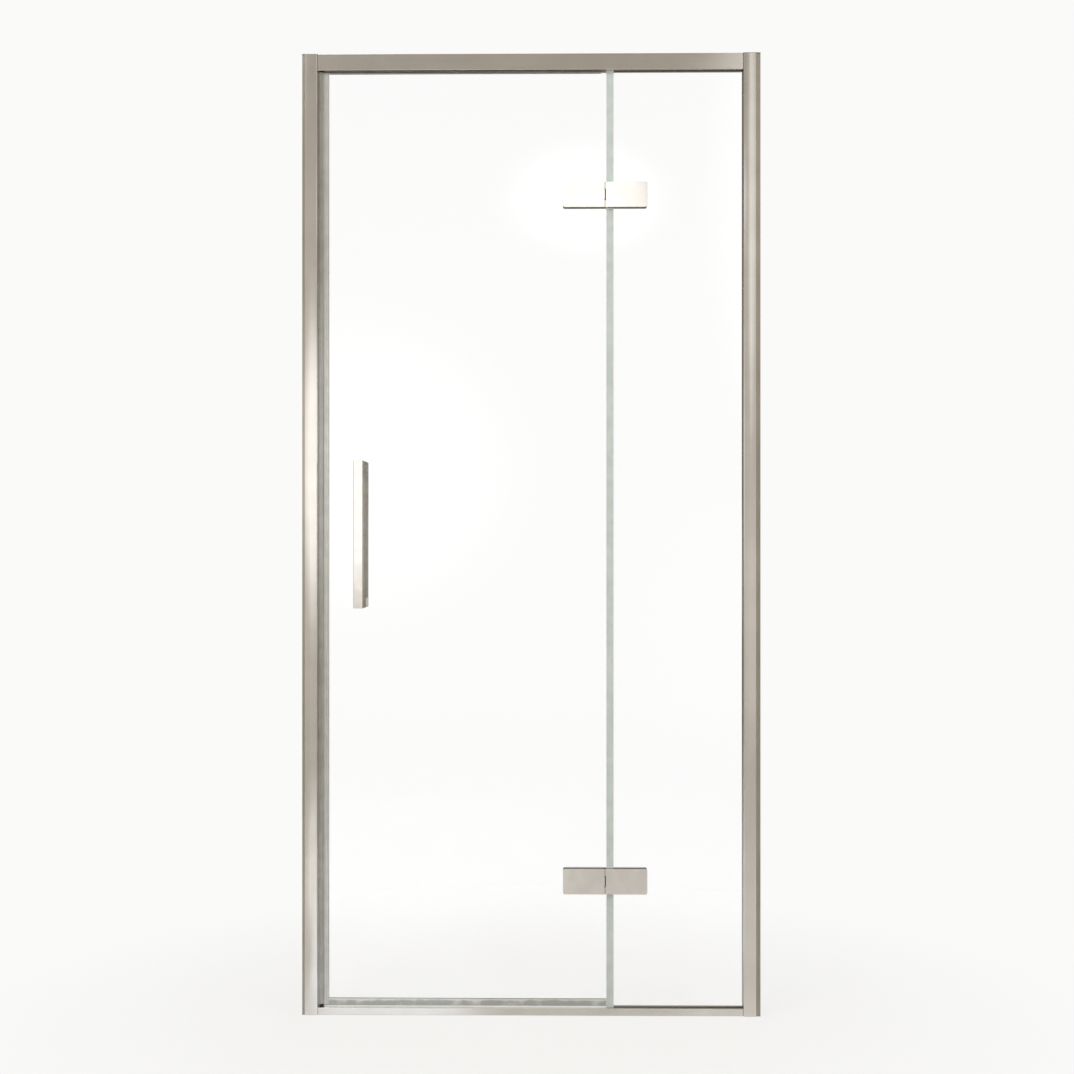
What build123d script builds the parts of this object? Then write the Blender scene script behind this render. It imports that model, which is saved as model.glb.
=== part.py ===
"""Framed in-line shower door: a glass leaf hinged on a fixed glass panel.

Millimetres, +Z up. The origin is the bottom centre of the frame, on the middle plane
of the glass. The viewer outside the shower stands at -Y, and +X is to the right.
"""
from build123d import *
import os

os.makedirs("parts", exist_ok=True)

# Whole frame
frame_width = 905.0
frame_height = 1900.0

# Posts: open channels that slide over the wall channels
post_width = 25.2
post_depth = 36.0
post_wall = 1.6
post_crown = 0.8
post_nose = 2.6
left_face = -422.0
right_face = 418.6
cap_thickness = 1.2
cap_plugs = ((-13.4, -7.4), (7.4, 13.4))

# Wall channels: what is screwed to the walls of the niche
channel_reach = 24.0
channel_wall = 1.6
channel_gap = 0.3
wall_hole_radius = 2.75
wall_hole_heights = (100.0, 665.0, 1235.0, 1800.0)
lock_screw_heights = (150.0, 950.0, 1750.0)
lock_screw_inset = 15.0

# Rails
rail_depth = 30.0
rail_wall = 1.5
top_rail_height = 32.0
bottom_rail_height = 14.0
rail_end_gap = 0.5
corner_pad_inset = 0.7
port_offset = 10.4
port_radius = 3.3
port_bore = 2.05
top_port_drop = 16.0
bottom_port_rise = 7.0

# Glazing groove, the same in posts and rails
groove_width = 10.0
groove_depth = 10.0
groove_wall = 1.4

# Glass
glass = 6.0
glass_arris = 0.4
leaf_left = -406.9
leaf_right = 150.5
leaf_bottom = 23.0
leaf_top = 1864.6
fixed_left = 156.0
fixed_right = 426.6
fixed_bottom = 6.0
fixed_top = 1876.0

# Hinges: two plates a side, flush at the front, that turn on an upright pin
pivot_x = 144.2
pivot_y = -9.5
hinge_heights = {"lower": 264.0, "upper": 1622.0}
hinge_tall = 50.0
hinge_left = 63.3
hinge_right = 229.7
plate_front = -13.0
plate_back = -4.0
clamp_back = 11.0
plate_corner = 3.8
plate_edge = 0.2
plate_near_edge = 0.2
pad_inset = 0.3
lip_reach = 4.6
lip_thickness = 0.7

# Hinge knuckles and the plates' near edges, from the axis of the pin
door_plate_start = 0.15
fixed_plate_start = 3.8
door_pad_start = 1.7
door_clamp_start = -5.2
fixed_clamp_start = 6.0
knuckle_radius = 2.8
knuckle_clearance = 0.3
knuckle_flat = 2.3
web_start = 0.5
web_front = 0.3
web_back = 3.3
door_knuckle_half = 10.0
fixed_knuckle_start = 11.0
pin_radius = 1.5
pin_half_length = 24.5
bush_clearance = 0.05
bush_radius = 2.0
bush_flange = 0.8
bush_flange_radius = 2.3
screw_steps = (24.0, 62.0)
screw_radius = 3.0
screw_head_radius = 5.0
screw_head_depth = 3.0
thread_end = -10.0
glass_hole = 6.0

# Seals
strike_edge = -413.0
strike_magnet_edge = -410.9
strike_bottom = 19.3
strike_neck = 2.5
plug_start = 3.2
strike_top = 1866.0
door_seal_edge = -410.1
door_seal_leg = -401.3
door_seal_bottom = 17.6
seal_leg = 1.6
drip_top = 30.0
drip_bottom = 16.9
threshold_rib_top = 16.6
threshold_rib = 1.2
head_blade_overlap = 0.6
side_seal_left = 149.2
side_seal_right = 163.3
side_seal_front = -5.0

# Pull handles, back to back through the leaf
handle_x = -337.6
handle_height = 950.0
handle_length = 290.0
handle_width = 18.5
handle_bar = 12.0
handle_leg = 19.0
handle_out = 53.0
handle_pad = 1.0
stud_radius = 4.0
stud_reach = 22.0

post_height = frame_height - cap_thickness
top_rail_low = frame_height - top_rail_height
rail_left = left_face + rail_end_gap
rail_right = right_face - rail_end_gap
half_glass = glass / 2
half_groove = groove_width / 2


def block(x, y, z):
    """A box from three (low, high) pairs."""
    size = (x[1] - x[0], y[1] - y[0], z[1] - z[0])
    return Pos(x[0], y[0], z[0]) * Box(*size, align=(Align.MIN, Align.MIN, Align.MIN))


def rod(start, radius, length, along):
    """A round bar from a start point, along +X, +Y or +Z."""
    turn = {"x": Rot(0, 90, 0), "y": Rot(-90, 0, 0), "z": Rot(0, 0, 0)}[along]
    bar = Cylinder(radius, length, align=(Align.CENTER, Align.CENTER, Align.MIN))
    return Pos(*start) * turn * bar


def strip(x, y):
    """A flat rectangle from two (low, high) pairs."""
    return Pos((x[0] + x[1]) / 2, (y[0] + y[1]) / 2) * Rectangle(x[1] - x[0], y[1] - y[0])


def upright(profile, low, high):
    """A profile drawn in plan, raised from one height to another."""
    return extrude(Pos(0, 0, low) * profile, high - low)


def lengthwise(profile, left, right):
    """A profile drawn as (depth, height), run along X."""
    section = Plane(origin=(left, 0, 0), x_dir=(0, 1, 0), z_dir=(1, 0, 0)) * profile
    return extrude(section, right - left)


def both_sides(shape):
    """The shape and its mirror image through the glass plane."""
    return [shape, mirror(shape, Plane.XZ)]


def save(name, *shapes):
    """Write the separate solids of one piece, or of one group of like pieces."""
    solids = [solid for shape in shapes for solid in shape.solids()]
    piece = solids[0] if len(solids) == 1 else Compound(children=solids)
    piece.label = name
    export_step(piece, f"parts/{name}.step")


def post_profile():
    """Post in plan, with its inner face at zero and its open side outwards."""
    rear = post_depth / 2
    edge = rear - post_crown
    bend = post_nose * (1 - 0.5**0.5)
    outline = [
        Line((0, post_nose - edge), (0, rear - post_nose)),
        ThreePointArc((0, rear - post_nose), (bend, rear - bend), (post_nose, rear)),
        Line((post_nose, rear), (post_width, rear)),
        Line((post_width, rear), (post_width, -edge)),
        ThreePointArc((post_width, -edge), ((post_nose + post_width) / 2, -rear), (post_nose, -edge)),
        ThreePointArc((post_nose, -edge), (bend, bend - edge), (0, post_nose - edge)),
    ]
    shell = make_face(outline)
    half_cavity = post_depth / 2 - post_crown - post_wall
    shell -= strip((post_wall, post_width + 1), (-half_cavity, half_cavity))
    return shell + groove_housing() - groove_opening()


def groove_housing():
    """Walls of the glazing groove, as a solid strip that is cut open afterwards."""
    half = half_groove + groove_wall
    return strip((0.5, groove_depth + groove_wall), (-half, half))


def groove_opening():
    return strip((-1, groove_depth), (-half_groove, half_groove))


def channel_half_depth():
    return post_depth / 2 - post_crown - post_wall - channel_gap


def make_post(face, side):
    """A post with its groove inwards; side is -1 for the left and 1 for the right."""
    post = upright(post_profile(), 0, post_height)
    for height, offset in corner_screw_points():
        post -= rod((-1, offset, height), port_bore, post_wall + 2, "x")
    for height in lock_screw_heights:
        post -= rod((lock_screw_inset, 0, height), port_bore, post_depth, "y")
    return Pos(face, 0, 0) * (post if side > 0 else mirror(post, Plane.YZ))


def make_wall_channel(side):
    """U-shaped channel with its back on the wall and its legs in the post."""
    half = channel_half_depth()
    inner = half - channel_wall
    outline = strip((-channel_reach, 0), (-half, half))
    outline -= strip((-channel_reach - 1, -channel_wall), (-inner, inner))
    channel = upright(outline, 0, post_height)
    for height in wall_hole_heights:
        channel -= rod((-channel_wall - 1, 0, height), wall_hole_radius, channel_wall + 2, "x")
    lock_x = lock_screw_x(side)
    channel = Pos(frame_width / 2, 0, 0) * channel
    for height in lock_screw_heights:
        channel -= rod((abs(lock_x), 0, height), port_bore, post_depth, "y")
    return channel if side > 0 else mirror(channel, Plane.YZ)


def lock_screw_x(side):
    return right_face + lock_screw_inset if side > 0 else left_face - lock_screw_inset


def make_lock_screws():
    """Cross-head screws that fix each post to its wall channel, on the shower side."""
    screws = []
    for side in (-1, 1):
        for height in lock_screw_heights:
            x = lock_screw_x(side)
            shank = rod((x, 10, height), port_bore - 0.05, post_depth / 2 - 10, "y")
            head = rod((x, post_depth / 2, height), 3.8, 2.2, "y")
            head = fillet(head.edges().sort_by(Axis.Y)[-1], 1.0)
            depth = (post_depth / 2 + 1.0, post_depth / 2 + 3.0)
            head -= block((x - 2.0, x + 2.0), depth, (height - 0.4, height + 0.4))
            head -= block((x - 0.4, x + 0.4), depth, (height - 2.0, height + 2.0))
            screws.append(shank + head)
    return screws


def make_post_caps():
    """Push-in plastic caps on the tops of the posts, each with two plugs."""
    caps = []
    for side, face in ((-1, left_face), (1, right_face)):
        width = frame_width / 2 - abs(face)
        lid = block((0, width), (-post_depth / 2 + post_crown, post_depth / 2), (post_height, frame_height))
        for low, high in cap_plugs:
            lid += block((3, 18), (low, high), (post_height - 8, post_height))
        lid = Pos(face, 0, 0) * lid if side > 0 else Pos(face, 0, 0) * mirror(lid, Plane.YZ)
        caps.append(lid)
    return caps


def rail_profile(height):
    """Rail section as (depth, height) with its glazing groove at the top."""
    half = rail_depth / 2
    outer = strip((-half, half), (0, height))
    outer = fillet(outer.vertices(), 0.6)
    inner = strip((rail_wall - half, half - rail_wall), (rail_wall, height - rail_wall))
    housing_half = half_groove + groove_wall
    low = height - groove_depth
    housing = strip((-housing_half, housing_half), (low - groove_wall, height - 0.5))
    return outer - inner + housing - strip((-half_groove, half_groove), (low, height + 1))


def with_ports(profile, height):
    """Add the two round screw ports that the corner screws run into."""
    for offset in (-port_offset, port_offset):
        profile += Pos(offset, height) * Circle(port_radius)
    for offset in (-port_offset, port_offset):
        profile -= Pos(offset, height) * Circle(port_bore)
    return profile


def top_rail_section():
    upside_down = mirror(rail_profile(top_rail_height), Plane.XZ)
    section = with_ports(upside_down, -top_port_drop)
    return Pos(0, frame_height) * section


def bottom_rail_section():
    return with_ports(rail_profile(bottom_rail_height), bottom_port_rise)


def corner_screw_points():
    heights = (frame_height - top_port_drop, bottom_port_rise)
    return [(height, offset) for height in heights for offset in (-port_offset, port_offset)]


def make_corner_screws():
    """Screws through the posts into the ports of the rails, heads inside the posts."""
    screws = []
    for height, offset in corner_screw_points():
        for side, face in ((-1, left_face), (1, right_face)):
            head_length = 2.5
            shank_length = post_wall + rail_end_gap + 25
            shank = rod((post_wall - shank_length, offset, height), 2.0, shank_length, "x")
            head = rod((post_wall, offset, height), 3.2, head_length, "x")
            screw = shank + head
            screws.append(Pos(face, 0, 0) * (screw if side > 0 else mirror(screw, Plane.YZ)))
    return screws


def make_corner_pads():
    """Thin plastic pads between the rail ends and the posts, open at the groove."""
    pads = []
    half = rail_depth / 2 - corner_pad_inset
    bottom = (0.0, bottom_rail_height, bottom_rail_height - groove_depth)
    top = (top_rail_low, frame_height, top_rail_low - 1)
    for low, high, slot_low in (bottom, top):
        slot = (slot_low, slot_low + groove_depth + 1)
        for left, right in ((left_face, rail_left), (rail_right, right_face)):
            pad = block((left, right), (-half, half), (low + corner_pad_inset, high - corner_pad_inset))
            pad -= block((left - 1, right + 1), (-half_groove, half_groove), slot)
            for height, offset in corner_screw_points():
                pad -= rod((left - 1, offset, height), port_bore, 3, "x")
            pads.append(pad)
    return pads


def make_threshold_infill():
    """Strip that closes the bottom rail's groove under the leaf, with a rib against water."""
    top = strip((-half_groove + 0.1, half_groove - 0.1), (bottom_rail_height - 2, bottom_rail_height))
    legs = strip((-half_groove + 0.1, -half_groove + 1.5), (bottom_rail_height - 8, bottom_rail_height - 1))
    legs += strip((half_groove - 1.5, half_groove - 0.1), (bottom_rail_height - 8, bottom_rail_height - 1))
    infill = lengthwise(top + legs, rail_left, side_seal_left + 5)
    rib_depth = (-half_groove + 0.1, -half_groove + 0.1 + threshold_rib)
    rib_height = (bottom_rail_height - 1, threshold_rib_top)
    return infill + block((strike_magnet_edge + 0.5, side_seal_left - 0.5), rib_depth, rib_height)


def make_strike():
    """Soft profile in the left post that carries the fixed magnet strip."""
    foot = strip((left_face - 8, left_face), (-half_groove + 0.2, half_groove - 0.2))
    neck = strip((left_face, left_face + strike_neck), (-6.0, 6.0))
    body = strip((left_face + strike_neck, strike_edge), (-7.0, 7.0))
    hollow = strip((left_face + 4, strike_edge - 1.4), (-5.2, 5.2))
    stem = upright(foot + neck, bottom_rail_height + 0.2, strike_top)
    return stem + upright(body - hollow, strike_bottom, strike_top)


def make_strike_magnet():
    return block((strike_edge, strike_magnet_edge), (-6.6, 6.6), (strike_bottom, strike_top))


def make_strike_plug():
    """Black end plug that stands on the bottom rail and closes the strike profile."""
    reach = (left_face + plug_start, strike_magnet_edge)
    body = block(reach, (-7.4, 7.4), (bottom_rail_height, strike_bottom))
    tail = block((left_face + 4.3, strike_edge - 1.7), (-4.9, 4.9), (strike_bottom, strike_bottom + 8))
    foot_edge = body.edges().filter_by(Axis.Y).group_by(Axis.Z)[0].sort_by(Axis.X)[-1]
    return chamfer(foot_edge, 2.2) + tail


def pane(left, right, low, high):
    """A sheet of toughened glass with ground arrises."""
    sheet = block((left, right), (-half_glass, half_glass), (low, high))
    return chamfer(sheet.edges(), glass_arris)


def hinge_holes(sheet, side):
    """Drill a pane for the screws of both hinges, on one side of the pivot."""
    for height in hinge_heights.values():
        for step in screw_steps:
            sheet -= rod((pivot_x + side * step, -10, height), glass_hole, 20, "y")
    return sheet


def make_door_glass():
    leaf = hinge_holes(pane(leaf_left, leaf_right, leaf_bottom, leaf_top), -1)
    for height in stud_heights():
        leaf -= rod((handle_x, -10, height), glass_hole, 20, "y")
    return leaf


def make_fixed_glass():
    return hinge_holes(pane(fixed_left, fixed_right, fixed_bottom, fixed_top), 1)


def make_fixed_side_gaskets():
    heights = (bottom_rail_height + 0.2, top_rail_low - 0.2)
    wedge = block((right_face, right_face + groove_depth - 1), (half_glass, half_groove), heights)
    return both_sides(wedge)


def make_fixed_rail_gaskets(low, high):
    """Glazing strips in a rail groove, one on each face of the fixed pane."""
    wedge = block((side_seal_right + 1, rail_right), (half_glass, half_groove), (low, high))
    return both_sides(wedge)


def make_setting_blocks():
    """Blocks that the fixed pane stands on, at its quarter points."""
    low = bottom_rail_height - groove_depth
    quarter = (fixed_right - fixed_left) / 4
    centres = (fixed_left + quarter, fixed_right - quarter)
    return [block((x - 15, x + 15), (-half_glass, half_glass), (low, fixed_bottom)) for x in centres]


def make_top_door_seal():
    """Infill of the top rail's groove with a blade behind the head of the leaf."""
    low = top_rail_low
    web = strip((-half_groove + 0.1, half_groove - 0.1), (low, low + 1.6))
    legs = strip((-half_groove + 0.1, -half_groove + 1.5), (low, low + 7))
    legs += strip((half_groove - 1.5, half_groove - 0.1), (low, low + 7))
    infill = lengthwise(web + legs, rail_left, side_seal_left + 5)
    blade_heights = (leaf_top - head_blade_overlap, low + 1)
    blade_depths = (half_glass + 0.7, half_groove - 0.1)
    return infill + block((door_seal_leg + 1, pivot_x - 5.5), blade_depths, blade_heights)


def make_side_seal(low, high):
    """Clip-on seal of the fixed pane's free edge, with a lip in front of the leaf."""
    web_left = fixed_left - 1.4
    front = strip((web_left, side_seal_right), (side_seal_front, -half_glass))
    lip = strip((side_seal_left, fixed_left), (side_seal_front, -half_glass - 0.4))
    web = strip((web_left, fixed_left), (side_seal_front, half_glass + seal_leg))
    rear = strip((web_left, side_seal_right), (half_glass, half_glass + seal_leg))
    fin = strip((leaf_right + 0.7, fixed_left), (-0.5, 0.5))
    return upright(front + lip + web + rear + fin, low, high)


def side_seal_spans():
    """Height ranges of the side seal, which stops at each hinge."""
    stop = hinge_tall / 2 + 0.5
    low = hinge_heights["lower"]
    high = hinge_heights["upper"]
    return {
        "lower": (bottom_rail_height + 0.2, low - stop),
        "middle": (low + stop, high - stop),
        "upper": (high + stop, top_rail_low - 0.2),
    }


def make_door_magnet_seal():
    """Clip-on seal of the leaf's free edge, with a pocket for its magnet strip."""
    box = strip((door_seal_edge, leaf_left), (-6.4, 6.4))
    pocket = strip((door_seal_edge + 0.6, door_seal_edge + 2.2), (-4.4, 4.4))
    front = strip((leaf_left - 0.5, door_seal_leg), (-half_glass - seal_leg, -half_glass))
    rear = strip((leaf_left - 0.5, door_seal_leg), (half_glass, half_glass + seal_leg))
    return upright(box - pocket + front + rear, door_seal_bottom, leaf_top)


def make_door_magnet():
    edges = (door_seal_edge + 0.6, door_seal_edge + 2.2)
    return block(edges, (-4.3, 4.3), (door_seal_bottom, leaf_top))


def make_door_bottom_seal():
    """Drip seal clipped on the leaf's lower edge, just above the threshold's rib."""
    outer = half_glass + seal_leg
    legs = strip((-outer, outer), (drip_bottom, drip_top))
    legs -= strip((-half_glass, half_glass), (leaf_bottom, drip_top + 1))
    legs -= strip((-2.6, 2.6), (drip_bottom + 1.2, leaf_bottom - 1.2))
    return lengthwise(legs, door_seal_leg, side_seal_left - 0.5)


def far_end(side):
    """How far a hinge reaches from the pin's axis, on its fixed or its door side."""
    return hinge_right - pivot_x if side > 0 else pivot_x - hinge_left


def plate_body(side, start, depths, inset=0.0):
    """A hinge plate right of the pin's axis, rounded at its far corners."""
    half = hinge_tall / 2 - inset
    outline = strip((start, far_end(side) - inset), (-half, half))
    outline = fillet(outline.vertices().sort_by(Axis.X)[-2:], plate_corner - inset)
    front, back = depths
    return Pos(0, back, 0) * extrude(Plane.XZ * outline, back - front)


def knuckle(low, high):
    """A round knuckle on the pin's axis, cut flat at its front."""
    wide = knuckle_radius + 1
    front = block((-wide, wide), (pivot_y - wide, pivot_y - knuckle_flat), (low - 1, high + 1))
    return rod((0, pivot_y, low), knuckle_radius, high - low, "z") - front


def front_plate(side, start):
    """A front plate with eased edges and blind screw holes, without its knuckles."""
    plate = plate_body(side, start, (plate_front, plate_back))
    plate = chamfer(plate.faces().sort_by(Axis.Y)[0].edges().sort_by(Axis.X)[0], plate_near_edge)
    face_edges = plate.faces().sort_by(Axis.Y)[0].edges()
    plate = chamfer(face_edges.sort_by(Axis.X)[1:], plate_edge)
    for step in screw_steps:
        plate -= rod((step, thread_end - 0.5, 0), screw_radius + 0.05, plate_back - thread_end + 1, "y")
    return plate


def fixed_knuckles():
    half = hinge_tall / 2
    return [(fixed_knuckle_start, half), (-half, -fixed_knuckle_start)]


def outer_zones():
    """Height ranges outside the leaf's knuckle."""
    half = hinge_tall / 2 + 1
    return [(door_knuckle_half, half), (-half, -door_knuckle_half)]


def placed(shape, side, height):
    """Put a right-hand hinge piece on its side of the pivot, at a hinge's height."""
    shape = shape if side > 0 else mirror(shape, Plane.YZ)
    return Pos(pivot_x, 0, height) * shape


def make_fixed_plate(height):
    """Fixed front plate, whose webs carry the two outer knuckles and the pin."""
    plate = front_plate(1, fixed_plate_start)
    web_depths = (pivot_y + web_front, pivot_y + web_back)
    for low, high in fixed_knuckles():
        plate += block((web_start, fixed_plate_start + 1), web_depths, (low, high))
        plate += knuckle(low, high)
    plate -= rod((0, pivot_y, -hinge_tall), pin_radius, 2 * hinge_tall, "z")
    return placed(plate, 1, height)


def make_door_plate(height):
    """Leaf's front plate, with the middle knuckle and hollows for the outer ones."""
    plate = front_plate(-1, door_plate_start) + knuckle(-door_knuckle_half, door_knuckle_half)
    for low, high in outer_zones():
        plate -= rod((0, pivot_y, low), knuckle_radius + knuckle_clearance, high - low, "z")
    plate -= rod((0, pivot_y, -hinge_tall), bush_radius, 2 * hinge_tall, "z")
    return placed(plate, -1, height)


def make_clamp(side, height):
    """Rear plate, bored and counterbored for the hinge screws."""
    start = fixed_clamp_start if side > 0 else door_clamp_start
    clamp = plate_body(side, start, (-plate_back, clamp_back))
    back_edges = clamp.faces().sort_by(Axis.Y)[-1].edges()
    clamp = chamfer(back_edges, plate_edge)
    for step in screw_steps:
        clamp -= rod((step, 0, 0), screw_radius + 0.2, 20, "y")
        clamp -= rod((step, clamp_back - screw_head_depth - 0.5, 0), screw_head_radius + 0.3, 10, "y")
    return placed(clamp, side, height)


def make_hinge_gaskets(side, height):
    """Pads on both faces of the glass, with collars that line its holes.

    The leaf's front pad also has a thin lip behind the gap between the two plates.
    """
    glass_start = fixed_left - pivot_x + 0.4
    front_start = glass_start if side > 0 else door_pad_start
    rear_start = glass_start if side > 0 else door_clamp_start
    front = plate_body(side, front_start, (plate_back, -half_glass), pad_inset)
    rear = plate_body(side, rear_start, (half_glass, -plate_back), pad_inset)
    for step in screw_steps:
        front += rod((step, -half_glass - 0.5, 0), glass_hole - 0.1, glass + 0.4, "y")
    for step in screw_steps:
        front -= rod((step, -10, 0), screw_radius + 0.1, 20, "y")
        rear -= rod((step, -10, 0), screw_radius + 0.1, 20, "y")
    if side < 0:
        half = hinge_tall / 2 - pad_inset
        lip_depths = (-half_glass - lip_thickness, -half_glass)
        front += block((-lip_reach, door_pad_start + 1), lip_depths, (-half, half))
    return [placed(front, side, height), placed(rear, side, height)]


def make_hinge_screws(side, height):
    """Socket screws from the rear plate into the blind threads of the front plate."""
    screws = []
    seat = clamp_back - screw_head_depth - 0.5
    for step in screw_steps:
        screw = rod((step, thread_end, 0), screw_radius, seat - thread_end, "y")
        screw += rod((step, seat, 0), screw_head_radius, screw_head_depth, "y")
        socket = Plane(origin=(step, clamp_back, 0), z_dir=(0, -1, 0)) * RegularPolygon(2.3, 6)
        screw -= extrude(socket, 2.3)
        screws.append(placed(screw, side, height))
    return screws


def make_pin(height):
    pin = rod((0, pivot_y, -pin_half_length), pin_radius, 2 * pin_half_length, "z")
    return placed(pin, 1, height)


def make_bushes(height):
    """Two flanged bushes in the leaf's knuckle, running on the pin."""
    tube = rod((0, pivot_y, 0.2), bush_radius, door_knuckle_half - 0.2, "z")
    tube += rod((0, pivot_y, door_knuckle_half), bush_flange_radius, bush_flange, "z")
    tube -= rod((0, pivot_y, -1), pin_radius + bush_clearance, 2 * door_knuckle_half, "z")
    return [placed(tube, 1, height), placed(mirror(tube, Plane.XY), 1, height)]


def stud_heights():
    offset = (handle_length - handle_leg) / 2
    return [handle_height - offset, handle_height + offset]


def make_handle(side):
    """A square-section D handle; side is -1 outside the shower and 1 inside."""
    foot = half_glass + handle_pad
    half = handle_length / 2
    outline = strip((foot, handle_out), (-half, half))
    outline -= strip((foot - 1, handle_out - handle_bar), (handle_leg - half, half - handle_leg))
    corners = outline.vertices().group_by(Axis.X)[-1]
    outline = fillet(corners, 1.2)
    handle = lengthwise(outline, -handle_width / 2, handle_width / 2)
    side_edges = [edge for edge in handle.edges() if edge.center().Y > foot + 0.5]
    across = [edge for edge in side_edges if abs(edge.center().X) > handle_width / 2 - 0.1]
    handle = chamfer(across, 0.8)
    for height in stud_heights():
        handle -= rod((0, 0, height - handle_height), stud_radius + 0.05, stud_reach + 1, "y")
    if side > 0:
        for height in stud_heights():
            bore_top = height - handle_height - stud_radius
            handle -= rod((0, stud_reach - 6, bore_top - handle_leg), 2.05, handle_leg, "z")
    handle = handle if side > 0 else mirror(handle, Plane.XZ)
    return Pos(handle_x, 0, handle_height) * handle


def make_handle_studs():
    return [
        rod((handle_x, -stud_reach, height), stud_radius, 2 * stud_reach, "y")
        for height in stud_heights()
    ]


def make_handle_sleeves():
    """Plastic collars between the studs and the glass."""
    sleeves = []
    for height in stud_heights():
        sleeve = rod((handle_x, -half_glass, height), glass_hole - 0.1, glass, "y")
        sleeves.append(sleeve - rod((handle_x, -10, height), stud_radius + 0.1, 20, "y"))
    return sleeves


def make_handle_pads():
    """Clear pads between the handle legs and the glass."""
    pads = []
    for height in stud_heights():
        pad = rod((handle_x, half_glass, height), 8.6, handle_pad, "y")
        pads += both_sides(pad - rod((handle_x, 0, height), stud_radius + 0.1, 20, "y"))
    return pads


def make_grub_screws():
    """Set screws under the inner handle's legs, against the studs."""
    screws = []
    for height in stud_heights():
        top = height - stud_radius
        screws.append(rod((handle_x, stud_reach - 6, top - 5), 2.0, 5, "z"))
    return screws


def save_frame():
    save("left_wall_channel", make_wall_channel(-1))
    save("right_wall_channel", make_wall_channel(1))
    save("left_post", make_post(left_face, -1))
    save("right_post", make_post(right_face, 1))
    save("post_caps", *make_post_caps())
    save("top_rail", lengthwise(top_rail_section(), rail_left, rail_right))
    save("bottom_rail", lengthwise(bottom_rail_section(), rail_left, rail_right))
    save("corner_pads", *make_corner_pads())
    save("corner_screws", *make_corner_screws())
    save("channel_lock_screws", *make_lock_screws())
    save("threshold_infill", make_threshold_infill())


def save_fixed_panel():
    save("fixed_glass", make_fixed_glass())
    save("fixed_side_gaskets", *make_fixed_side_gaskets())
    save("fixed_top_gaskets", *make_fixed_rail_gaskets(top_rail_low - 0.4, top_rail_low + 8.0))
    save("fixed_bottom_gaskets", *make_fixed_rail_gaskets(5.0, bottom_rail_height - 0.2))
    save("setting_blocks", *make_setting_blocks())
    for name, (low, high) in side_seal_spans().items():
        save(f"side_seal_{name}", make_side_seal(low, high))


def save_strike():
    save("strike_profile", make_strike())
    save("strike_magnet", make_strike_magnet())
    save("strike_end_plug", make_strike_plug())
    save("top_door_seal", make_top_door_seal())


def save_leaf():
    save("door_glass", make_door_glass())
    save("door_magnet_seal", make_door_magnet_seal())
    save("door_magnet", make_door_magnet())
    save("door_bottom_seal", make_door_bottom_seal())
    save("handle_outer", make_handle(-1))
    save("handle_inner", make_handle(1))
    save("handle_studs", *make_handle_studs())
    save("handle_sleeves", *make_handle_sleeves())
    save("handle_pads", *make_handle_pads())
    save("handle_grub_screws", *make_grub_screws())


def save_hinges():
    for name, height in hinge_heights.items():
        save(f"{name}_hinge_fixed_plate", make_fixed_plate(height))
        save(f"{name}_hinge_fixed_clamp", make_clamp(1, height))
        save(f"{name}_hinge_fixed_gaskets", *make_hinge_gaskets(1, height))
        save(f"{name}_hinge_fixed_screws", *make_hinge_screws(1, height))
        save(f"{name}_hinge_pin", make_pin(height))
        save(f"{name}_hinge_door_plate", make_door_plate(height))
        save(f"{name}_hinge_door_clamp", make_clamp(-1, height))
        save(f"{name}_hinge_door_gaskets", *make_hinge_gaskets(-1, height))
        save(f"{name}_hinge_door_screws", *make_hinge_screws(-1, height))
        save(f"{name}_hinge_bushes", *make_bushes(height))


save_frame()
save_fixed_panel()
save_strike()
save_leaf()
save_hinges()
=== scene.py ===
"""Finishes, studio and camera for the framed in-line shower door.

Metres, in the frame of the CAD model: the bottom centre of the frame is the origin,
the viewer outside the shower stands at -Y, and +Z is up.
"""
import math

import bpy
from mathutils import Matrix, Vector

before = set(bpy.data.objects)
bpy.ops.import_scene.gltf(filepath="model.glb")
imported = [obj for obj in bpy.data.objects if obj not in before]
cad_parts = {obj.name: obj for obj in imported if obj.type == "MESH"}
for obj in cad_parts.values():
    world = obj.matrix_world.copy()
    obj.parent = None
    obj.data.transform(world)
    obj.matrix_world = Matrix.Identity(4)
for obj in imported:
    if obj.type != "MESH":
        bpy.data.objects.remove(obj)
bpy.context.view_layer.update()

MM = 0.001
LONG = 400 * MM
WHITE = "FFFFFF"
BACKGROUND = "FAFAF9"


def linear(hex_colour):
    """An sRGB hex colour as the linear colour that shaders work in."""
    parts = [int(hex_colour[i:i + 2], 16) / 255 for i in (0, 2, 4)]
    return [p / 12.92 if p <= 0.04045 else ((p + 0.055) / 1.055) ** 2.4 for p in parts] + [1.0]


def add_node(tree, kind, settings=None, values=None, links=None):
    """Add one node with its settings, its sockets' values and the links into it."""
    node = tree.nodes.new(kind)
    for name, value in (settings or {}).items():
        setattr(node, name, value)
    for name, value in (values or {}).items():
        node.inputs[name].default_value = value
    for name, source in (links or {}).items():
        tree.links.new(source, node.inputs[name])
    return node


def calculated(tree, operation, first, second, clamp=False):
    """The result of one operation on two sockets' values."""
    return add_node(tree, "ShaderNodeMath", settings={"operation": operation, "use_clamp": clamp},
                    links={0: first, 1: second}).outputs["Value"]


def mixed(tree, factor, first, second):
    """The first shader where the factor is 0 and the second where it is 1."""
    mix = add_node(tree, "ShaderNodeMixShader", links={"Fac": factor})
    tree.links.new(first, mix.inputs[1])
    tree.links.new(second, mix.inputs[2])
    return mix.outputs["Shader"]


def blank_material(name):
    """A new material and its empty node tree."""
    material = bpy.data.materials.new(name)
    material.use_nodes = True
    material.node_tree.nodes.clear()
    return material, material.node_tree


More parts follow.
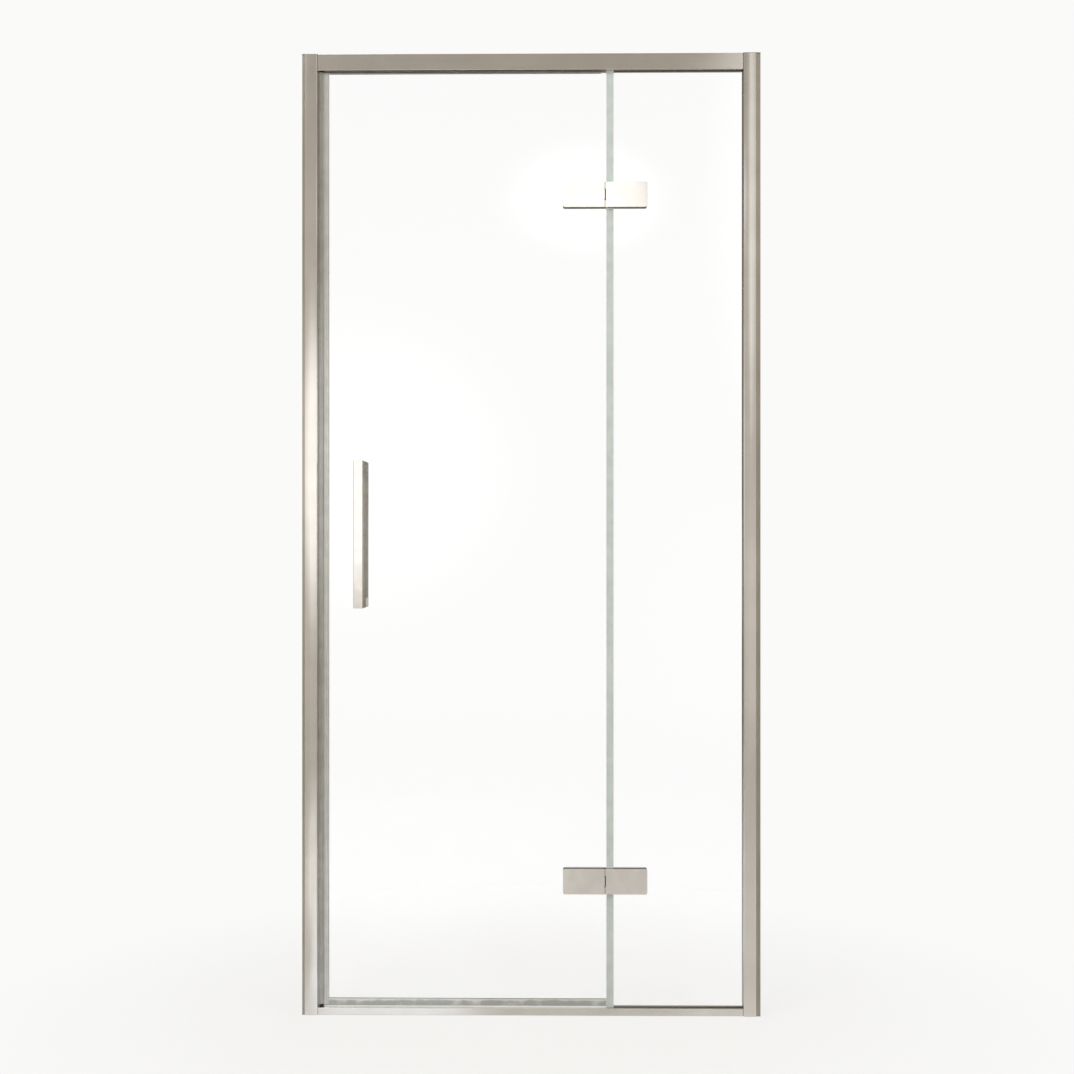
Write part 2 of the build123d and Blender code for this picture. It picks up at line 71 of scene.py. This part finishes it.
def finished(tree, shader):
    """Give the material its surface."""
    add_node(tree, "ShaderNodeOutputMaterial", links={"Surface": shader})


def level_grain(width):
    """The size of features that run the length of a level profile."""
    return (LONG, width, width)


def upright_grain(width):
    """The size of features that run the length of an upright profile."""
    return (width, width, LONG)


def even_grain(width):
    """The size of features that run no way in particular."""
    return (width, width, width)


def grain(tree, size, detail=2.0):
    """Noise on object coordinates whose features have the given size in metres along x, y and z."""
    place = add_node(tree, "ShaderNodeTexCoord")
    scaled = add_node(tree, "ShaderNodeMapping", values={"Scale": [1 / s for s in size]},
                      links={"Vector": place.outputs["Object"]})
    return add_node(tree, "ShaderNodeTexNoise", values={"Scale": 1.0, "Detail": detail},
                    links={"Vector": scaled.outputs["Vector"]}).outputs["Fac"]


def two_tones(tree, factor, dark, light, low=0.35, high=0.65):
    """A colour that moves between two hex colours as the factor goes from low to high."""
    ramp = add_node(tree, "ShaderNodeValToRGB", links={"Fac": factor})
    ramp.color_ramp.elements[0].position = low
    ramp.color_ramp.elements[1].position = high
    ramp.color_ramp.elements[0].color = linear(dark)
    ramp.color_ramp.elements[1].color = linear(light)
    return ramp.outputs["Color"]


def ranged(tree, factor, low, high):
    """The factor's middle part, spread over a range of values."""
    return add_node(tree, "ShaderNodeMapRange",
                    values={"From Min": 0.3, "From Max": 0.7, "To Min": low, "To Max": high},
                    links={"Value": factor}).outputs["Result"]


def smooth_step(tree, value, low, high, start=0.0, end=1.0):
    """A smooth change from start to end as the value goes from low to high."""
    return add_node(tree, "ShaderNodeMapRange", settings={"interpolation_type": "SMOOTHSTEP"},
                    values={"From Min": low, "From Max": high, "To Min": start, "To Max": end},
                    links={"Value": value}).outputs["Result"]


def rising(tree, low, high, start, end):
    """A value that changes smoothly from one height of the object to another."""
    place = add_node(tree, "ShaderNodeTexCoord")
    axes = add_node(tree, "ShaderNodeSeparateXYZ", links={"Vector": place.outputs["Object"]})
    return smooth_step(tree, axes.outputs["Z"], low, high, start, end)


def bump(tree, height, depth):
    """A normal from a height pattern; depth is its relief in metres."""
    return add_node(tree, "ShaderNodeBump", values={"Strength": 1.0, "Distance": depth},
                    links={"Height": height}).outputs["Normal"]


def polished_aluminium(name, size, dark, light, roughness=0.13):
    """Aluminium extrusion, polished and bright-anodised: a warm silver that mirrors the
    room softly, with faint die lines that run the length of the profile."""
    material, tree = blank_material(name)
    lines = grain(tree, size)
    cloud = grain(tree, even_grain(60 * MM))
    shader = add_node(tree, "ShaderNodeBsdfPrincipled", values={"Metallic": 1.0}, links={
        "Base Color": two_tones(tree, cloud, dark, light),
        "Roughness": ranged(tree, lines, roughness, roughness + 0.06),
        "Normal": bump(tree, lines, 0.004 * MM),
    })
    finished(tree, shader.outputs["BSDF"])
    return material


def buffed_metal(name):
    """Chrome plate on polished brass, or bright stainless steel: a cool bright mirror with
    the slight waviness that buffing leaves, and a thin haze of fine wiping marks."""
    material, tree = blank_material(name)
    cloud = grain(tree, even_grain(25 * MM))
    wipes = grain(tree, (30 * MM, 30 * MM, 1.2 * MM), 4.0)
    shader = add_node(tree, "ShaderNodeBsdfPrincipled", values={"Metallic": 1.0}, links={
        "Base Color": two_tones(tree, cloud, "DEDDDB", "E6E5E3"),
        "Roughness": ranged(tree, wipes, 0.08, 0.1),
        "Normal": bump(tree, cloud, 0.01 * MM),
    })
    finished(tree, shader.outputs["BSDF"])
    return material


def float_glass(name):
    """Clear toughened float glass with an easy-clean coating, which mirrors a little less
    than bare glass: almost invisible face on, green along its edges, with the slight
    roller wave that toughening leaves. Lamps pass through it."""
    material, tree = blank_material(name)
    wave = grain(tree, (0.5, 0.5, 0.25), 0.0)
    body = add_node(tree, "ShaderNodeBsdfPrincipled", values={
        "Base Color": linear(WHITE), "Roughness": 0.0, "IOR": 1.46, "Transmission Weight": 1.0,
    }, links={"Normal": bump(tree, wave, 0.05 * MM)})
    lamp_side = add_node(tree, "ShaderNodeBsdfTransparent", values={"Color": linear("F1F6F3")})
    path = add_node(tree, "ShaderNodeLightPath")
    finished(tree, mixed(tree, path.outputs["Is Shadow Ray"],
                         body.outputs["BSDF"], lamp_side.outputs["BSDF"]))
    return material


def plastic(name, dark, light, roughness, size, relief, glow=0.0, metallic=0.0, painted_light_heights=None):
    """A moulded or extruded plastic: two close tones, its own gloss and a fine relief.
    Between the two heights given, it goes from its darker tone to its lighter one: painted shade
    below, and painted light above, where light would show through it as it gets thin."""
    material, tree = blank_material(name)
    tone = grain(tree, even_grain(20 * MM))
    if painted_light_heights:
        # Painted shade below the lower height and painted light above the upper one
        tone = calculated(tree, "ADD", tone, rising(tree, painted_light_heights[0], painted_light_heights[1], -0.15, 0.3))
    texture = grain(tree, size)
    shader = add_node(tree, "ShaderNodeBsdfPrincipled", values={
        "IOR": 1.5, "Subsurface Weight": glow, "Subsurface Scale": 1.5 * MM, "Metallic": metallic,
    }, links={
        "Base Color": two_tones(tree, tone, dark, light),
        "Roughness": ranged(tree, texture, roughness - 0.05, roughness + 0.05),
        "Normal": bump(tree, texture, relief),
    })
    finished(tree, shader.outputs["BSDF"])
    return material


upright_aluminium = polished_aluminium("bright_anodised_aluminium_upright", upright_grain(1.5 * MM),
                                       "D9D7D4", "DFDDDA")
level_aluminium = polished_aluminium("bright_anodised_aluminium_level", level_grain(1.5 * MM),
                                     "D9D7D4", "DFDDDA")
# Wall channels: the same alloy, satin-anodised, so duller; a tone darker than the posts in painted
# shade of their recess
channel_aluminium = polished_aluminium("satin_anodised_aluminium_channel_painted_shade", upright_grain(1.5 * MM),
                                       "A19B92", "A8A299", 0.3)
# Hinges and handles: cool, bright and sharper in its reflections than the frame
chrome = buffed_metal("chrome_plated_brass")
# Screws, studs and pins: the same bright finish, in solid steel
steel = buffed_metal("stainless_steel_bright")
glass = float_glass("clear_toughened_float_glass")
# Soft PVC, extruded: milky grey-green, a little light comes through it, lines along its length
seal = plastic("soft_grey_pvc_extruded", "BEC9C7", "C8D1CF", 0.35,
               upright_grain(0.8 * MM), 0.02 * MM, glow=0.2)
# The same with more gloss: neutral grey with a silvery sheen on the leaf's closing edge
edge_seal = plastic("glossy_grey_pvc_extruded", "BEBFBC", "C8C9C6", 0.28,
                    upright_grain(0.8 * MM), 0.02 * MM, metallic=0.45)
# The same, run level: darker low down and paler towards the thin top edges of its legs, in painted
# shade and painted light
drip_seal = plastic("soft_grey_pvc_level_painted_light_and_shade", "A5AAA6", "D4D6D2", 0.35,
                    level_grain(0.8 * MM), 0.02 * MM, glow=0.2, painted_light_heights=(24 * MM, 30.5 * MM))
# Rigid PVC with a metallised film: smoky silver that mirrors the room weakly
strike_grey = plastic("smoky_silver_film_on_rigid_pvc", "9A9A96", "A4A4A0", 0.25,
                      upright_grain(0.8 * MM), 0.01 * MM, metallic=0.6)
# Rigid PVC, extruded: dull brown-grey
head_grey = plastic("brown_grey_pvc_extruded", "817C71", "8B867B", 0.5,
                    level_grain(0.8 * MM), 0.01 * MM)
# EPDM rubber, extruded: dark matt grey, slightly grainy
rubber = plastic("epdm_rubber_extruded", "45413A", "4E4A43", 0.6, even_grain(0.5 * MM), 0.02 * MM)
# Flexible magnet in a plastic skin, extruded: smooth mid grey
magnet = plastic("flexible_magnet_grey_skin", "9A9C96", "A4A6A0", 0.4,
                 upright_grain(0.8 * MM), 0.01 * MM)
# Polypropylene, moulded: matt black with a fine spark texture
black_plastic = plastic("black_polypropylene_moulded", "1B1A19", "232221", 0.5,
                        even_grain(0.4 * MM), 0.02 * MM)
# ABS, moulded: matt warm grey with a fine spark texture
grey_plastic = plastic("grey_abs_moulded", "8B867E", "969189", 0.45,
                       even_grain(0.4 * MM), 0.02 * MM)
# Rigid PVC, extruded: glossy white
white_plastic = plastic("white_pvc_extruded", "F4F6F8", "F9FAFC", 0.3,
                        level_grain(0.8 * MM), 0.01 * MM)
# Soft clear PVC, moulded: pale and milky where it lies on glass
clear_plastic = plastic("clear_soft_pvc_moulded", "D9DDDA", "E0E4E1", 0.3,
                        even_grain(0.6 * MM), 0.01 * MM, glow=0.3)

FINISHES = {
    "frame_aluminium": upright_aluminium,
    "channel_aluminium": channel_aluminium,
    "chrome": chrome,
    "clear_glass": glass,
    "seal_pvc": seal,
    "strike_pvc": strike_grey,
    "head_pvc": head_grey,
    "white_plastic": white_plastic,
    "gasket_rubber": rubber,
    "magnet_strip": magnet,
    "steel": steel,
    "black_plastic": black_plastic,
    "grey_plastic": grey_plastic,
    "clear_plastic": clear_plastic,
}
OWN_FINISHES = {
    "top_rail": level_aluminium,
    "bottom_rail": level_aluminium,
    "door_bottom_seal": drip_seal,
    "door_magnet_seal": edge_seal,
}

for name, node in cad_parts.items():
    for place in node.material_slots:
        kind = place.material.name.split(".")[0]
        place.material = OWN_FINISHES.get(name, FINISHES.get(kind, grey_plastic))


def seen_directly(tree):
    """Two values: 1 for what the camera sees, also through glass, and 0 for light and
    reflections; and 1 for rays that have just come through glass."""
    path = add_node(tree, "ShaderNodeLightPath")
    through = path.outputs["Is Transmission Ray"]
    direct = calculated(tree, "MAXIMUM", path.outputs["Is Camera Ray"], through)
    bounces = calculated(tree, "ADD", path.outputs["Glossy Depth"], path.outputs["Diffuse Depth"])
    return calculated(tree, "SUBTRACT", direct, bounces, clamp=True), through


def backdrop(tree, kind):
    """The share in which the backdrop is seen, and the backdrop: its own colour, and the
    cleaner white that the camera sees through the glass."""
    shown, behind_glass = seen_directly(tree)
    open_side = add_node(tree, kind, values={"Color": linear(BACKGROUND)})
    glass_side = add_node(tree, kind, values={"Color": linear(WHITE)})
    return shown, mixed(tree, behind_glass, open_side.outputs[0], glass_side.outputs[0])


def room_colour(tree, way):
    """The room's colour in a direction: warm grey in front, and a little darker towards
    its ceiling, its sides and behind the door."""
    axes = add_node(tree, "ShaderNodeSeparateXYZ", links={"Vector": way})
    walls = two_tones(tree, axes.outputs["Z"], "CEC6BA", "ADA498", 0.15, 0.27)
    sideways = add_node(tree, "ShaderNodeMath", settings={"operation": "ABSOLUTE"},
                        links={0: axes.outputs["X"]})
    for part, colour in ((smooth_step(tree, sideways.outputs["Value"], 0.45, 0.85), "9C958B"),
                         (smooth_step(tree, axes.outputs["Y"], 0.0, 0.5), "857F75")):
        walls = add_node(tree, "ShaderNodeMix", settings={"data_type": "RGBA"},
                         values={"B": linear(colour)},
                         links={"Factor": part, "A": walls}).outputs["Result"]
    return walls


def studio_world():
    """A pale backdrop for the camera, and a plain room for light and reflections."""
    world = bpy.data.worlds.new("studio_room")
    bpy.context.scene.world = world
    world.use_nodes = True
    tree = world.node_tree
    tree.nodes.clear()
    way = add_node(tree, "ShaderNodeTexCoord").outputs["Generated"]
    room = add_node(tree, "ShaderNodeBackground", links={"Color": room_colour(tree, way)})
    shown, pale = backdrop(tree, "ShaderNodeBackground")
    add_node(tree, "ShaderNodeOutputWorld",
             links={"Surface": mixed(tree, shown, room.outputs["Background"], pale)})


def studio_floor():
    """A wide pale floor: it holds the soft shadow round the object, and further out it
    takes the backdrop's colour, and in reflections the room's colour."""
    shadow_end = (0.3, 1.3)
    room_start = (2.0, 7.0)
    nearest_share = 0.8
    bpy.ops.mesh.primitive_plane_add(size=60, location=(0, 0, 0))
    floor = bpy.context.object
    floor.name = "studio_floor"
    material, tree = blank_material("pale_floor_paint")
    paint = add_node(tree, "ShaderNodeBsdfDiffuse", values={"Color": linear("E4E2DE")})
    shown, pale = backdrop(tree, "ShaderNodeEmission")
    place = add_node(tree, "ShaderNodeTexCoord").outputs["Object"]
    reach = add_node(tree, "ShaderNodeVectorMath", settings={"operation": "LENGTH"},
                     links={0: place}).outputs["Value"]
    way = add_node(tree, "ShaderNodeVectorMath", settings={"operation": "NORMALIZE"},
                   links={0: place}).outputs["Vector"]
    far_end = add_node(tree, "ShaderNodeEmission", links={"Color": room_colour(tree, way)})
    ground = mixed(tree, smooth_step(tree, reach, *room_start),
                   paint.outputs["BSDF"], far_end.outputs["Emission"])
    share = calculated(tree, "MULTIPLY", shown,
                       smooth_step(tree, reach, *shadow_end, nearest_share, 1.0))
    finished(tree, mixed(tree, share, ground, pale))
    floor.data.materials.append(material)


def lamp_screen():
    """A sheet between the door and the softboxes in front of it. Someone who looks out
    through the glass sees it as plain backdrop, and all other light passes through it."""
    bpy.ops.mesh.primitive_plane_add(size=1, location=(0.1, -0.93, 1.45),
                                     rotation=(math.radians(90), 0, 0))
    screen = bpy.context.object
    screen.name = "lamp_screen"
    screen.scale = (4.8, 2.6, 1)
    material, tree = blank_material("backdrop_paper")
    shown, behind_glass = seen_directly(tree)
    clear = add_node(tree, "ShaderNodeBsdfTransparent", values={"Color": linear(WHITE)})
    paper = add_node(tree, "ShaderNodeEmission", values={"Color": linear(WHITE)})
    finished(tree, mixed(tree, calculated(tree, "MULTIPLY", shown, behind_glass),
                         clear.outputs["BSDF"], paper.outputs["Emission"]))
    screen.data.materials.append(material)


def softbox(name, place, aim, size, radiance, edge=0.6, colour=WHITE, seen_through_glass=True):
    """A softbox aimed at a point, bright in its middle and fading over its edge share. It
    lights and is mirrored, but isn't seen itself."""
    lamp = bpy.data.lights.new(name, "AREA")
    lamp.shape = "RECTANGLE"
    lamp.size, lamp.size_y = size
    lamp.energy = radiance * math.pi * size[0] * size[1]
    lamp.use_nodes = True
    tree = lamp.node_tree
    tree.nodes.clear()
    spot = add_node(tree, "ShaderNodeNewGeometry")
    centred = add_node(tree, "ShaderNodeMapping", values={"Location": (-1, -1, 0), "Scale": (2, 2, 0)},
                       links={"Vector": spot.outputs["Parametric"]})
    glow = add_node(tree, "ShaderNodeTexGradient", settings={"gradient_type": "SPHERICAL"},
                    links={"Vector": centred.outputs["Vector"]})
    light = add_node(tree, "ShaderNodeEmission", values={"Color": linear(colour)},
                     links={"Strength": smooth_step(tree, glow.outputs["Fac"], 0, edge)})
    add_node(tree, "ShaderNodeOutputLight", links={"Surface": light.outputs["Emission"]})
    holder = bpy.data.objects.new(name, lamp)
    bpy.context.scene.collection.objects.link(holder)
    holder.location = place
    holder.rotation_euler = (Vector(aim) - Vector(place)).to_track_quat("-Z", "Y").to_euler()
    holder.visible_transmission = seen_through_glass


def bounce_card(name, x, y, size, radiance, edge=0.6, colour=WHITE):
    """A glowing card that lies on the floor and faces up, for the metal to mirror."""
    above_floor = 0.0005
    softbox(name, (x, y, above_floor), (x, y, 1), size, radiance, edge, colour,
            seen_through_glass=False)


studio_world()
studio_floor()
lamp_screen()
# The light of the room: from the upper left, the upper right, above and behind
softbox("key_softbox", (-1.6, -2.6, 4.0), (0, 0, 0.6), (2.4, 2.4), 8.0)
softbox("fill_softbox", (2.2, -2.4, 3.6), (0, 0, 0.95), (2.0, 2.0), 3.0)
softbox("top_softbox", (0, -0.3, 4.4), (0, -0.3, 0), (5.2, 5.2), 1.0)
softbox("back_softbox", (0.4, 2.8, 3.8), (0, 0, 0.9), (2.2, 2.2), 3.0)
# What the lower half of the frame, the lower hinge and the handle mirror
bounce_card("near_bounce_card", -0.285, -0.35, (0.54, 1.8), 0.5, colour="E6EEFF")
bounce_card("far_bounce_card", -0.42, -1.9, (1.2, 2.6), 0.36, edge=0.4)
bounce_card("right_bounce_card", 0.4, -0.05, (0.34, 0.5), 0.12)
# What the front faces of the two posts and of the upper hinge mirror
softbox("left_post_softbox", (-0.5, -1.2, 1.13), (-0.5, 0, 1.02), (1.1, 1.0), 0.8)
softbox("right_post_softbox", (0.62, -1.2, 1.85), (0.5, 0, 1.5), (0.42, 1.6), 0.46, 0.5)
softbox("low_right_softbox", (0.61, -1.2, 0.72), (0.61, 0, 0.72), (1.0, 1.1), 0.14, 0.8)
softbox("upper_hinge_softbox", (0.125, -1.2, 1.845), (0.115, 0, 1.65), (0.54, 0.37), 0.95)
# What the sides of the posts and of the handles mirror
softbox("right_side_softbox", (1.7, -1.2, 1.15), (-0.4, 0, 1.1), (1.6, 1.3), 3.0)
softbox("left_side_softbox", (-1.6, -1.2, 1.3), (0.4, 0, 1.2), (1.4, 1.8), 0.6)
# A band of light on the backs of the handle and the lower hinge
softbox("low_back_softbox", (0, 2.6, 0.83), (0, 0, 0.83), (1.8, 0.52), 0.3,
        seen_through_glass=False)

# The photograph's view: 3.5 m in front of the frame at mid-height, turned a little to the left
camera = bpy.data.cameras.new("photo_camera")
camera.lens = 59.47
camera.sensor_width = 36
viewer = bpy.data.objects.new("photo_camera", camera)
bpy.context.scene.collection.objects.link(viewer)
viewer.location = (0.061, -3.518, 0.945)
viewer.rotation_euler = (math.radians(90), 0, 0.014)
bpy.context.scene.camera = viewer
bpy.context.scene.view_settings.view_transform = "Standard"
